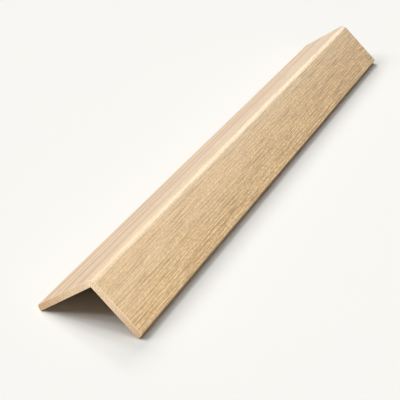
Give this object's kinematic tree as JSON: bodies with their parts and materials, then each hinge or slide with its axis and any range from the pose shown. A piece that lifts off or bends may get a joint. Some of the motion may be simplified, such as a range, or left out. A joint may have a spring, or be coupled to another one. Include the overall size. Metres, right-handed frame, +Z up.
{
  "type": "panel end trim",
  "caption": "Slim wooden angle moulding with two equal legs and a rounded corner, for covering the cut edge of a slatted acoustic wall panel.",
  "frame": {"origin": "on the floor that the trim rests on, midway between its two toes and midway along its length", "axes": "+Z up through the corner, +Y along the length, +X across the section"},
  "size_m": [0.0454, 0.364, 0.0202],
  "materials": {
    "oak": "fine-sanded with a clear matt lacquer"
  },
  "bodies": {
    "root": {"end_trim": "oak"}
  },
  "joints": []
}
